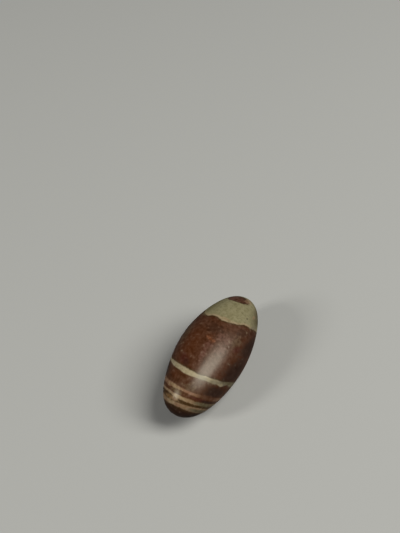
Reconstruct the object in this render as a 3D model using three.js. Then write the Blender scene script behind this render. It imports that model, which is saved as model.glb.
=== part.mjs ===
// A shiva lingam stone: one river pebble of banded quartz, ground and polished into a long egg.
// It lies on its side on a small worn flat. Millimetres, +Z up: X runs tip to tip, the blunt tip at +X,
// Y runs across, and the origin is the middle of the footprint, on the surface that the stone lies on.
import * as THREE from "three";
import { mergeVertices } from "three/addons/utils/BufferGeometryUtils.js";

// Driving dimensions of the egg, before it was ground uneven and worn flat below.
const LENGTH = 75.8; // tip to tip
const WIDTH = 33.6; // across the belly
const HEIGHT = 32.8; // from back to belly

// How the egg departs from a true ellipsoid. Each list multiplies t, t², t³ and t⁴, where t runs along
// the stone from -1 at the slim tip to 1 at the blunt one.
const FULLNESS = [0, -0.04, -0.03, 0.16]; // share by which a cross-section is fuller
const SIDEWAYS_BOW = [0, -0.3, -0.7, 0]; // how far the middle line strays along Y

// Broad, shallow unevenness left by hand grinding: each is a wave over the unit sphere.
const UNDULATIONS = [
  { depth: 0.12, wave: [-2.8, 3, 1.6], phase: 5 },
  { depth: 0.16, wave: [1.2, -2.2, 3.6], phase: 1.7 },
  { depth: 0.12, wave: [3.8, 0.8, -2], phase: 1.3 },
  { depth: 0.1, wave: [4.4, -2.6, 1.8], phase: 3.9 },
];

// The flat that the stone rests on, with its rim worn round.
const FLAT_TO_AXIS = 15.6; // from the flat up to the long axis
const RIM_BLEND = 0.2; // height over which the flat runs out into the round surface

// 20 × (EDGE_SPLITS + 1)² triangles.
const EDGE_SPLITS = 17;

const POLISHED_STONE = new THREE.MeshStandardMaterial({
  name: "polished_stone",
  color: 0x6b463c,
  roughness: 0.38,
  metalness: 0,
});

// Sum of coefficients[i] × t^(i + 1).
function polynomial(coefficients, t) {
  return coefficients.reduceRight((sum, c) => (sum + c) * t, 0);
}

// How far the surface stands out at a point of the unit sphere, because of the grinding.
function unevenness(direction) {
  return UNDULATIONS.reduce((sum, { depth, wave, phase }) => {
    const along = direction.dot(new THREE.Vector3(...wave));
    return sum + depth * Math.sin(along + phase);
  }, 0);
}

// The larger of height and 0, with the corner between them rounded over ±RIM_BLEND.
function wornFlat(height) {
  const near = Math.max(RIM_BLEND - Math.abs(height), 0) / RIM_BLEND;
  return Math.max(height, 0) + (near * near * RIM_BLEND) / 4;
}

// Where a point of the unit sphere lies on the stone.
function surfacePoint(direction) {
  const t = direction.x;
  const swell = 1 + polynomial(FULLNESS, t);
  const point = new THREE.Vector3(
    (LENGTH / 2) * t,
    (WIDTH / 2) * swell * direction.y,
    (HEIGHT / 2) * swell * direction.z,
  );
  point.addScaledVector(direction, unevenness(direction));
  point.y += polynomial(SIDEWAYS_BOW, t);
  point.z = wornFlat(point.z + FLAT_TO_AXIS);
  return point;
}

function stoneGeometry() {
  const ball = new THREE.IcosahedronGeometry(1, EDGE_SPLITS);
  ball.deleteAttribute("normal");
  ball.deleteAttribute("uv");
  const geometry = mergeVertices(ball, 1e-5);
  const positions = geometry.getAttribute("position");
  const direction = new THREE.Vector3();
  for (let i = 0; i < positions.count; i++) {
    direction.fromBufferAttribute(positions, i).normalize();
    positions.setXYZ(i, ...surfacePoint(direction));
  }
  geometry.computeBoundingBox();
  const middle = geometry.boundingBox.getCenter(new THREE.Vector3());
  geometry.translate(-middle.x, -middle.y, 0);
  geometry.computeVertexNormals();
  return geometry;
}

const stone = new THREE.Mesh(stoneGeometry(), POLISHED_STONE);
stone.name = "stone";

const shivaLingam = new THREE.Group();
shivaLingam.add(stone);

export default shivaLingam;
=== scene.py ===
from typing import NamedTuple

import bpy
import numpy as np
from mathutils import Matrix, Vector, noise


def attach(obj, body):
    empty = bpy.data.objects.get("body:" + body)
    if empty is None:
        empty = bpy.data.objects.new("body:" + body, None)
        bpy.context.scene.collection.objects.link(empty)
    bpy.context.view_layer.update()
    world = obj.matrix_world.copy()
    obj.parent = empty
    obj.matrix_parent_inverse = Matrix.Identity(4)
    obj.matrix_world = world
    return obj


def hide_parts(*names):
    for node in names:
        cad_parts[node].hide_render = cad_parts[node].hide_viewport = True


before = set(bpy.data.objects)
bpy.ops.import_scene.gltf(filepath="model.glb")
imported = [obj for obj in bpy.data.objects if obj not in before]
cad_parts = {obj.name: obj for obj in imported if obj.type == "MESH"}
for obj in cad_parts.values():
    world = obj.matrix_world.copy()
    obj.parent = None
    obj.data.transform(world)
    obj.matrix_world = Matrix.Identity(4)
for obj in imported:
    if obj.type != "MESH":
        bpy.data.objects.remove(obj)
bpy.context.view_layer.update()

MM = 0.001
AXIS_HEIGHT = 15.6  # mm from the floor up to the stone's long axis

# ---- What the stone is made of ----------------------------------------------------------------------
# Two numbers say where a point of the surface is:
# - its place among the beds, the x in mm where its bed crosses the long axis. The beds were laid down
#   flat and the stone cuts them at a slant: for each mm along +Y or +Z, this is added to x;
# - its turn round the long axis, in degrees from +Y over the top to -Y and on along the underside.
BED_SLANT_Y = -0.06
BED_SLANT_Z = 0.88

# Colours as sRGB bytes.
TINTS = {
    "tip_brown": (52, 26, 5),
    "tip_olive": (62, 38, 10),
    "tan": (138, 112, 89),
    "seam": (68, 45, 16),
    "cream_tan": (142, 118, 95),
    "red_brown": (80, 46, 23),
    "pink_tan": (134, 103, 83),
    # A bed's own colour, and also painted shade on the pink-tan bed's -Y side.
    "umber_and_painted_shade": (79, 47, 28),
    "pale_cream": (162, 151, 129),
    "olive_brown": (70, 49, 26),
    "body": (80, 47, 30),
    "cream_line": (154, 139, 116),
    "cap_cream": (138, 133, 107),
    "spot_rim": (58, 32, 16),
    "spot": (82, 52, 38),
    "rust": (86, 46, 23),
    "vein": (124, 78, 56),
    "mauve": (113, 78, 72),
    # Grey flecks, and also a painted highlight and a painted reflection.
    "ash_and_painted_sheen": (98, 84, 64),
    "red": (74, 33, 24),
    # Painted shade, laid on brown stone.
    "painted_shade_dark": (38, 22, 16),
    "ember": (48, 22, 12),
    "soot": (50, 30, 20),
    # Painted shade, laid on pale stone.
    "painted_shade_grey": (88, 80, 59),
    "lens": (130, 100, 66),
    "cream": (158, 138, 110),
    "pink": (138, 102, 86),
    "olive": (98, 78, 46),
    "moss": (112, 106, 68),
    "blush": (156, 128, 104),
    # Partly painted shade.
    "clay_and_painted_shade": (102, 95, 80),
    "dot": (60, 52, 34),
}

# Edges that several beds share, as pairs of turn and place.
CAP_EDGE = (
    (20, 23.6), (42, 23.6), (50, 22.6), (60, 22.6), (66, 23.3), (72, 24.3), (80, 24.5),
    (92, 23.8), (101, 24.0), (111, 24.5), (122, 24.9), (130, 25.9), (138, 25.8), (146, 25.0),
    (156, 24.7), (168, 23.8), (180, 22.8), (230, 24.6), (270, 22.9), (310, 24.2),
)
MAIN_BAND_UPPER = (
    (25, -9.9), (60, -9.6), (66, -9.9), (75, -9.6), (92, -10.0), (112, -10.6), (121, -9.9),
    (135, -10.2), (145, -9.9), (156, -10.5), (165, -10.0), (200, -10.0), (230, -9.3),
    (260, -10.6), (290, -9.5), (320, -10.3),
)
MAIN_BAND_LOWER = (
    (20, -11.4), (38, -11.7), (48, -12.5), (66, -12.5), (78, -13.0), (100, -12.9), (113, -12.4),
    (126, -12.3), (138, -12.8), (152, -12.6), (162, -13.8), (168, -12.2), (174, -11.4),
    (181, -12.6), (205, -13.9), (230, -12.6), (262, -13.6), (300, -12.0),
)


def shifted(edge, by):
    return tuple((turn, place + by) for turn, place in edge)


class Bed(NamedTuple):
    """One bed, from its lower edge, on the slim tip's side, up to the next bed's lower edge."""

    tint: str  # name in TINTS
    blur: float  # mm over which its lower edge fades
    edge: tuple  # pairs of turn and place along that edge


BEDS = (
    Bed("tip_brown", 1.0, ((0, -60.0),)),
    Bed("tip_olive", 1.2, ((0, -34.8),)),
    Bed("tan", 0.7, ((60, -33.3), (120, -33.1), (150, -33.5), (250, -32.6), (300, -33.7))),
    Bed("seam", 0.7, (
        (20, -30.4), (46, -31.4), (60, -31.3), (72, -30.9), (84, -31.0), (100, -30.8),
        (120, -30.5), (140, -30.2), (156, -29.8), (220, -29.4), (260, -30.8),
    )),
    Bed("cream_tan", 0.5, (
        (20, -27.0), (48, -27.2), (56, -27.3), (66, -27.9), (85, -28.6), (105, -28.2),
        (125, -28.4), (150, -28.3), (160, -28.0), (185, -27.4), (225, -28.2), (270, -28.8),
    )),
    Bed("red_brown", 0.6, (
        (30, -25.9), (48, -25.8), (66, -26.2), (96, -26.3), (120, -26.0), (144, -26.4),
        (168, -26.2), (215, -25.2), (270, -25.8),
    )),
    Bed("pink_tan", 0.5, (
        (30, -23.5), (48, -24.0), (60, -23.5), (72, -23.0), (96, -22.9), (120, -23.0),
        (132, -23.4), (142, -22.9), (168, -23.0), (200, -23.4), (240, -22.4), (280, -23.6),
    )),
    Bed("umber_and_painted_shade", 0.6, (
        (25, -20.5), (42, -21.0), (60, -21.0), (90, -21.5), (108, -21.9), (130, -21.6),
        (165, -21.7), (220, -20.7), (270, -21.2),
    )),
    Bed("pale_cream", 0.4, MAIN_BAND_LOWER),
    Bed("olive_brown", 0.5, MAIN_BAND_UPPER),
    Bed("body", 0.8, shifted(MAIN_BAND_UPPER, 0.9)),
    Bed("olive_brown", 0.8, shifted(CAP_EDGE, -0.8)),
    Bed("cream_line", 0.4, CAP_EDGE),
    Bed("cap_cream", 0.8, shifted(CAP_EDGE, 1.0)),
)
# The beds' colour ramp runs from one of these places to the other.
LOWEST_PLACE = -45.0
HIGHEST_PLACE = 45.0


class Patch(NamedTuple):
    """An oval on the surface, strongest in its middle and fading outwards."""

    place: float  # mm, of its middle
    turn: float  # degrees, likewise
    thick: float  # mm from there across the beds, to where it has faded to about a third
    long: float  # degrees from there round the stone, likewise


class Stain(NamedTuple):
    """Patches of a tint over the beds: stains, and some painted shade and light. Later ones lie on top.
    """

    tint: str  # name in TINTS
    most: float  # share of the tint where the stain is strongest
    patches: tuple
    grainy: float = 0.45  # how far the stone's grain breaks it up, below 0 if it favours dark grains


# The stains "liver", "umber" and "dusk" darken the -Y side and one low place at +Y. The photo is dark
# there, and most of that is probably shade, which they stand in for. Their colours are no sure reading.
STAINS = (
    Stain("rust", 0.65, (
        Patch(4, 62, 12, 20), Patch(-16, 55, 3, 14), Patch(12.9, 90, 1.1, 7),
        Patch(9.6, 97, 1.1, 6), Patch(12, 240, 8, 25),
    )),
    Stain("mauve", 0.42, (
        Patch(13.5, 119, 3, 9), Patch(14.5, 107, 2.5, 8), Patch(7.5, 117, 3, 9), Patch(8, 95, 2, 9),
        Patch(2, 94, 5, 5), Patch(38.4, 74, 1.6, 14), Patch(4, 300, 9, 30),
    ), grainy=0.9),
    # Grey flecks, plus painted light: a highlight at place -19.4 and a reflection at turn 38.
    Stain("ash_and_painted_sheen", 0.36, (
        Patch(14, 134, 4, 9), Patch(-19.4, 106, 2.8, 15), Patch(7.5, 38, 6, 12), Patch(20, 310, 6, 30),
    ), grainy=1.2),
    Stain("red", 0.75, (
        Patch(-5.5, 66, 3, 13), Patch(10.5, 141, 2.4, 8), Patch(-24.5, 144, 1.2, 28),
        Patch(-4, 280, 6, 20),
    )),
    # Painted shade: darkens the brown stone along the -Y side and low on the +Y rim.
    Stain("painted_shade_dark", 0.8, (
        Patch(-3, 166, 12, 22), Patch(13, 167, 9, 20), Patch(-18, 161, 5, 26),
        Patch(-25, 168, 1.4, 22), Patch(-16, 15, 5, 20),
    )),
    Stain("ember", 0.6, (Patch(-7, 74, 2.4, 9),)),
    Stain("soot", 0.5, (
        Patch(17.5, 90, 3.5, 20), Patch(20.5, 136, 3, 12), Patch(22, 155, 2, 12),
    ), grainy=-0.975),
    # Painted shade: darkens the pink-tan bed on the -Y side.
    Stain("umber_and_painted_shade", 0.9, (Patch(-22.3, 158, 1.8, 30),)),
    # Painted shade: greys the cap and the pale beds on the -Y side.
    Stain("painted_shade_grey", 0.9, (
        Patch(32, 171, 7.5, 32), Patch(-10.9, 174, 1.2, 20), Patch(-11.6, 192, 1.9, 14),
        Patch(-27, 170, 1.4, 38), Patch(-31.8, 180, 1.4, 34),
    )),
    Stain("vein", 0.85, (
        Patch(11.7, 86, 0.6, 3), Patch(11.2, 92, 0.9, 5), Patch(10.8, 99, 1.0, 4),
    ), grainy=0.225),
    Stain("lens", 0.9, (Patch(-29.6, 62, 1.4, 36),)),
    Stain("cream", 0.6, (
        Patch(-22.3, 68, 1.1, 26), Patch(-27.1, 92, 1.1, 26), Patch(-31.8, 56, 1.4, 20),
    )),
    Stain("pink", 0.5, (
        Patch(-32.4, 96, 1.0, 18), Patch(-22.4, 110, 1.0, 14), Patch(-29.6, 74, 1.0, 6),
    )),
    Stain("olive", 0.7, (Patch(-24.6, 78, 1.0, 18),)),
    Stain("moss", 0.6, (Patch(29, 46, 8, 13), Patch(30, 260, 6, 30))),
    Stain("blush", 0.5, (
        Patch(31.5, 147, 1.2, 5), Patch(39.5, 120, 1.5, 14), Patch(25.4, 96, 0.7, 12),
    )),
    # Dulls the main band where the key light's highlight falls; at turns 146 and 155 it is painted
    # shade.
    Stain("clay_and_painted_shade", 0.65, (
        Patch(-11.7, 118, 1.5, 14), Patch(-11.7, 146, 1.7, 17), Patch(25.3, 155, 1.1, 12),
    )),
    Stain("dot", 0.8, (Patch(29.8, 132, 0.6, 3.0),), grainy=0),
)

# A small lump of darker stone, cut through by the surface near the blunt tip, in mm.
SPOT_MIDDLE = (31.6, 0.2, 27.0)
SPOT_HALF_SIZE = (5.0, 7.9, 4.3)

# ---- Mesh -------------------------------------------------------------------------------------------
WELD_REACH = 1e-6  # m within which corners of the CAD facets are one
SUBDIVISIONS = 2
GRIND_WAVE = 7.0  # mm between the broad ripples that hand grinding leaves
GRIND_DEPTH = 0.05  # mm
PITS = 70
PIT_SEED = 5
PIT_REACH = (0.45, 1.0)  # mm from a pit's middle to where it has run out
PIT_DEPTH = 0.12  # mm, of the widest
UNWORN_BELOW = 0.3  # mm above the floor, so that the flat stays flat


def turns_of(points):
    return np.degrees(np.arctan2(points[:, 2] - AXIS_HEIGHT, points[:, 1])) % 360


def places_of(points):
    return points @ np.array((1, BED_SLANT_Y, BED_SLANT_Z)) - BED_SLANT_Z * AXIS_HEIGHT


def level(bed):
    """A bed's lower edge as one number, the mean of its ups and downs."""
    return sum(place for _, place in bed.edge) / len(bed.edge)


def straightened(places, turns):
    """The places with every bed's wavering edge pulled straight to its level."""
    levels = [level(bed) for bed in BEDS]
    edges = [np.interp(turns, *zip(*bed.edge), period=360) for bed in BEDS]
    straight = levels[0] + np.minimum(places - edges[0], 0)
    for i in range(len(BEDS) - 1):
        share = np.clip((places - edges[i]) / (edges[i + 1] - edges[i]), 0, 1)
        straight += share * (levels[i + 1] - levels[i])
    return straight + np.maximum(places - edges[-1], 0)


def strengths(places, turns, patches):
    """How strong the patches are at each point, from 0 to 1."""
    strongest = np.zeros(len(places))
    for patch in patches:
        round_stone = (turns - patch.turn + 180) % 360 - 180
        away = np.hypot((places - patch.place) / patch.thick, round_stone / patch.long)
        strongest = np.maximum(strongest, np.exp(-(away**2)))
    return strongest


def worn(points, normals):
    """The points moved in, never out, by the ripples of grinding and by pits where grains came out."""
    rise = np.array([noise.noise(Vector(point) / GRIND_WAVE) for point in points]) * GRIND_DEPTH
    random = np.random.default_rng(PIT_SEED)
    for centre in points[random.choice(len(points), PITS, replace=False)]:
        reach = random.uniform(*PIT_REACH)
        away = np.linalg.norm(points - centre, axis=1)
        rise -= PIT_DEPTH * reach / PIT_REACH[1] * np.exp(-((away / (reach / 2)) ** 2))
    rise[points[:, 2] < UNWORN_BELOW] = 0
    return points + normals * np.minimum(rise, 0)[:, None]


def smooth_copy(node, name):
    """A finer, smooth copy of a CAD node."""
    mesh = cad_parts[node].data.copy()
    mesh.materials.clear()
    coarse = bpy.data.objects.new("coarse", mesh)
    bpy.context.scene.collection.objects.link(coarse)
    coarse.modifiers.new("weld", "WELD").merge_threshold = WELD_REACH
    coarse.modifiers.new("round", "SUBSURF").levels = SUBDIVISIONS
    seen = coarse.evaluated_get(bpy.context.evaluated_depsgraph_get())
    fine = bpy.data.objects.new(name, bpy.data.meshes.new_from_object(seen))
    bpy.data.objects.remove(coarse)
    bpy.context.scene.collection.objects.link(fine)
    return fine


def read_vectors(vertices, key):
    flat = np.empty(len(vertices) * 3, np.float32)
    vertices.foreach_get(key, flat)
    return flat.reshape(-1, 3).astype(float)


def add_values(mesh, name, values):
    """Gives every vertex a number that the material can read by name."""
    mesh.attributes.new(name, "FLOAT", "POINT").data.foreach_set("value", values.astype(np.float32))


def make_stone():
    stone = smooth_copy("stone", "banded_stone")
    mesh = stone.data
    points = read_vectors(mesh.vertices, "co") / MM
    normals = read_vectors(mesh.vertex_normals, "vector")
    places, turns = places_of(points), turns_of(points)
    add_values(mesh, "bed", straightened(places, turns))
    for stain in STAINS:
        add_values(mesh, stain.tint, strengths(places, turns, stain.patches))
    add_values(mesh, "spot", 1 - np.linalg.norm((points - SPOT_MIDDLE) / SPOT_HALF_SIZE, axis=1))
    surface = (worn(points, normals) * MM).astype(np.float32)
    mesh.vertices.foreach_set("co", surface.ravel())
    mesh.polygons.foreach_set("use_smooth", np.ones(len(mesh.polygons), bool))
    mesh.update()
    mesh.materials.append(stone_material())
    return stone


# ---- Material ---------------------------------------------------------------------------------------
class Pattern(NamedTuple):
    """Noise about 0, all through the stone."""

    per_mm: float  # how fine it is
    detail: float  # how many finer layers lie over its broad one
    spread: float  # from the lowest that it can be to the highest


# These two shift the beds' edges, in mm.
EDGE_SWAY = Pattern(0.22, 2, 0.6)
EDGE_FRAY = Pattern(0.8, 4, 0.8)
# These two mottle the stone, break up its spot and stains, and vary its polish and relief.
CLOUDS = Pattern(0.35, 4, 0.8)
GRAIN = Pattern(0.65, 4, 1.8)
LAYER_STRENGTH = 0.6  # of each finer layer, next to the layer before

# How deep in the spot's lump its two tints set in: 0 at the lump's surface, and 1 in its middle.
SPOT_RIM_FADE = (-0.1, 0.06)
SPOT_FADE = (0.02, 0.22)
SPOT_RAGGED = 0.3  # share of the clouds and of the grain that this depth takes up
STAIN_FADE = (0.15, 0.85)  # strengths between which a stain sets in

CLOUD_SHARE = 0.7  # of the clouds in the mottling, next to all of the grain
PALE_BRIGHTNESS = (0.05, 0.22)  # linear, of dark stone and of stone that counts as pale
PALE_CALM = 0.3  # share by which the mottling is weaker on pale stone
GREYING = 0.5  # share of colour lost where the mottling makes the stone twice as bright

ROUGHNESS = 0.36
ROUGHNESS_CHANGE = 0.15  # share of the clouds that it takes up
STONE_IOR = 1.54
GRAIN_RELIEF = 0.0075  # mm that the surface rises where the grain rises by 1


def linear(tint):
    """A colour written as sRGB bytes, as the linear RGBA that a shader takes."""
    shares = (byte / 255 for byte in tint)
    return tuple(c / 12.92 if c <= 0.04045 else ((c + 0.055) / 1.055) ** 2.4 for c in shares) + (1.0,)


class Nodes:
    """Makes a material's or world's nodes. An input is a number, a colour or another node's socket."""

    def __init__(self, owner):
        owner.use_nodes = True
        self.tree = owner.node_tree
        self.tree.nodes.clear()

    def add(self, kind, inputs, **settings):
        node = self.tree.nodes.new(kind)
        for name, value in settings.items():
            setattr(node, name, value)
        for key, value in inputs.items():
            if isinstance(value, bpy.types.NodeSocket):
                self.tree.links.new(value, node.inputs[key])
            else:
                node.inputs[key].default_value = value
        return node

    def sum(self, a, b):
        return self.add("ShaderNodeMath", {0: a, 1: b}, operation="ADD").outputs[0]

    def product(self, a, b):
        return self.add("ShaderNodeMath", {0: a, 1: b}, operation="MULTIPLY").outputs[0]

    def attribute(self, name):
        return self.add("ShaderNodeAttribute", {}, attribute_name=name).outputs["Fac"]

    def noise(self, pattern):
        where = self.add("ShaderNodeTexCoord", {}).outputs["Object"]
        inputs = {
            "Vector": where,
            "Scale": pattern.per_mm / MM,
            "Detail": pattern.detail,
            "Roughness": LAYER_STRENGTH,
        }
        found = self.add("ShaderNodeTexNoise", inputs).outputs["Fac"]
        return self.product(self.sum(found, -0.5), pattern.spread)

    def step(self, value, low, high, top=1.0):
        """From 0 where the value is low, smoothly to top where it is high."""
        inputs = {"Value": value, "From Min": low, "From Max": high, "To Max": top}
        return self.add("ShaderNodeMapRange", inputs, interpolation_type="SMOOTHSTEP").outputs[0]

    def mix(self, share, below, above):
        """Two colours mixed. A Mix node has its colours in sockets 6 and 7, and gives the mix in 2."""
        inputs = {0: share, 6: below, 7: above}
        return self.add("ShaderNodeMix", inputs, data_type="RGBA").outputs[2]


def bed_colours(nodes):
    """Every bed in its tint, with ragged edges."""
    swayed = nodes.sum(nodes.attribute("bed"), nodes.noise(EDGE_SWAY))
    ragged = nodes.sum(swayed, nodes.noise(EDGE_FRAY))
    reach = HIGHEST_PLACE - LOWEST_PLACE
    share = nodes.product(nodes.sum(ragged, -LOWEST_PLACE), 1 / reach)
    ramp = nodes.add("ShaderNodeValToRGB", {"Fac": share})
    stops = ramp.color_ramp.elements
    stops.remove(stops[1])
    stops[0].color = linear(TINTS[BEDS[0].tint])
    for below, bed in zip(BEDS, BEDS[1:]):
        for side, tint in ((-0.5, below.tint), (0.5, bed.tint)):
            stop = stops.new((level(bed) + side * bed.blur - LOWEST_PLACE) / reach)
            stop.color = linear(TINTS[tint])
    return ramp.outputs["Color"]


def with_spot(nodes, colour, clouds, grain):
    """The spot's tint, and its rim's, laid over the colour with a ragged outline."""
    ragged = nodes.sum(nodes.product(clouds, SPOT_RAGGED), nodes.product(grain, SPOT_RAGGED))
    depth = nodes.sum(nodes.attribute("spot"), ragged)
    rimmed = nodes.mix(nodes.step(depth, *SPOT_RIM_FADE), colour, linear(TINTS["spot_rim"]))
    return nodes.mix(nodes.step(depth, *SPOT_FADE), rimmed, linear(TINTS["spot"]))


def with_stain(nodes, colour, stain, clouds, grain):
    """The stain's tint laid over the colour, broken up by clouds and grain."""
    broken = nodes.sum(clouds, nodes.product(grain, stain.grainy))
    strength = nodes.sum(nodes.attribute(stain.tint), broken)
    share = nodes.step(strength, *STAIN_FADE, stain.most)
    return nodes.mix(share, colour, linear(TINTS[stain.tint]))


def mottled(nodes, colour, clouds, grain):
    """The colour made brighter and darker by clouds and grain, and calmer where it is pale."""
    brightness = nodes.add("ShaderNodeRGBToBW", {0: colour}).outputs[0]
    calmed = nodes.sum(nodes.step(brightness, *PALE_BRIGHTNESS, -PALE_CALM), 1.0)
    uneven = nodes.product(nodes.sum(nodes.product(clouds, CLOUD_SHARE), grain), calmed)
    inputs = {
        "Color": colour,
        "Value": nodes.sum(uneven, 1.0),
        "Saturation": nodes.sum(nodes.product(uneven, -GREYING), 1.0),
    }
    return nodes.add("ShaderNodeHueSaturation", inputs).outputs[0]


def stone_material():
    material = bpy.data.materials.new("polished_banded_stone")
    nodes = Nodes(material)
    colour = bed_colours(nodes)
    clouds = nodes.noise(CLOUDS)
    grain = nodes.noise(GRAIN)
    colour = with_spot(nodes, colour, clouds, grain)
    for stain in STAINS:
        colour = with_stain(nodes, colour, stain, clouds, grain)
    bump = nodes.add("ShaderNodeBump", {"Height": grain, "Distance": GRAIN_RELIEF * MM})
    inputs = {
        "Base Color": mottled(nodes, colour, clouds, grain),
        "Roughness": nodes.sum(nodes.product(clouds, ROUGHNESS_CHANGE), ROUGHNESS),
        "IOR": STONE_IOR,
        "Normal": bump.outputs[0],
    }
    shader = nodes.add("ShaderNodeBsdfPrincipled", inputs)
    nodes.add("ShaderNodeOutputMaterial", {"Surface": shader.outputs[0]})
    return material


# ---- Studio -----------------------------------------------------------------------------------------
CAMERA_PLACE = Vector((-0.27473, -0.13184, 0.41768))
CAMERA_LOOK = Vector((0.59784, 0.30054, -0.74314))
SENSOR_WIDTH = 36.0  # mm, along the picture's longer side
FOCAL_LENGTH = 69.9  # mm
NEAREST_SEEN = 0.01  # m from the camera

FLOOR_SIZE = 8.0  # m
FLOOR_TINT = (184, 188, 199)
FLOOR_FADE = (0.35, 1.0)  # m from the stone, where the floor runs out into the backdrop
BACKDROP_TINT = (175, 176, 171)

SOFTBOX_AWAY = 1.5  # m
LAMP_COLOUR = (1.0, 0.95, 0.77)  # linear, a little warm
ROOM_TINT = (240, 238, 232)
ROOM_STRENGTH = 0.06


def add_to_scene(name, data):
    item = bpy.data.objects.new(name, data)
    bpy.context.scene.collection.objects.link(item)
    return item


def make_camera():
    camera = add_to_scene("camera", bpy.data.cameras.new("camera"))
    camera.data.sensor_width = SENSOR_WIDTH
    camera.data.lens = FOCAL_LENGTH
    camera.data.clip_start = NEAREST_SEEN
    camera.location = CAMERA_PLACE
    camera.rotation_euler = CAMERA_LOOK.to_track_quat("-Z", "Y").to_euler()
    bpy.context.scene.camera = camera


def floor_material():
    """Matt near the stone, and an even glow like the backdrop's further off, so no horizon shows."""
    material = bpy.data.materials.new("pale_floor")
    nodes = Nodes(material)
    where = nodes.add("ShaderNodeTexCoord", {}).outputs["Object"]
    away = nodes.add("ShaderNodeVectorMath", {0: where}, operation="LENGTH").outputs["Value"]
    lit = nodes.add("ShaderNodeBsdfDiffuse", {"Color": linear(FLOOR_TINT)})
    plain = nodes.add("ShaderNodeEmission", {"Color": linear(BACKDROP_TINT)})
    faded = nodes.step(away, *FLOOR_FADE)
    shader = nodes.add("ShaderNodeMixShader", {0: faded, 1: lit.outputs[0], 2: plain.outputs[0]})
    nodes.add("ShaderNodeOutputMaterial", {"Surface": shader.outputs[0]})
    return material


def make_floor():
    mesh = bpy.data.meshes.new("floor")
    half = FLOOR_SIZE / 2
    corners = [(-half, -half, 0), (half, -half, 0), (half, half, 0), (-half, half, 0)]
    mesh.from_pydata(corners, [], [(0, 1, 2, 3)])
    mesh.materials.append(floor_material())
    floor = add_to_scene("floor", mesh)
    # The polish doesn't mirror the floor, which would turn every rim of the stone milky.
    floor.visible_glossy = False


def make_softbox(name, direction, width, length, watts):
    """A soft light that shines on the stone from a direction."""
    lamp = bpy.data.lights.new(name, "AREA")
    lamp.shape = "RECTANGLE"
    lamp.size = width
    lamp.size_y = length
    lamp.energy = watts
    lamp.color = LAMP_COLOUR
    softbox = add_to_scene(name, lamp)
    softbox.location = Vector(direction).normalized() * SOFTBOX_AWAY
    softbox.rotation_euler = Vector(direction).to_track_quat("Z", "Y").to_euler()
    softbox.visible_camera = False


def make_world():
    """A dim room that lights the stone from all round. The camera sees the plain backdrop instead."""
    world = bpy.data.worlds.new("studio")
    nodes = Nodes(world)
    seen = nodes.add("ShaderNodeLightPath", {}).outputs["Is Camera Ray"]
    dim = nodes.add("ShaderNodeBackground", {"Color": linear(ROOM_TINT), "Strength": ROOM_STRENGTH})
    plain = nodes.add("ShaderNodeBackground", {"Color": linear(BACKDROP_TINT)})
    shader = nodes.add("ShaderNodeMixShader", {0: seen, 1: dim.outputs[0], 2: plain.outputs[0]})
    nodes.add("ShaderNodeOutputWorld", {"Surface": shader.outputs[0]})
    bpy.context.scene.world = world
    bpy.context.scene.view_settings.view_transform = "Standard"


make_camera()
make_floor()
make_softbox("key", direction=(0.145, -0.553, 0.828), width=0.66, length=1.1, watts=19.2)
make_softbox("fill", direction=(-0.67, 0.49, 0.556), width=0.28, length=0.42, watts=8.0)
make_world()
stone = make_stone()
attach(stone, "root")
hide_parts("stone")
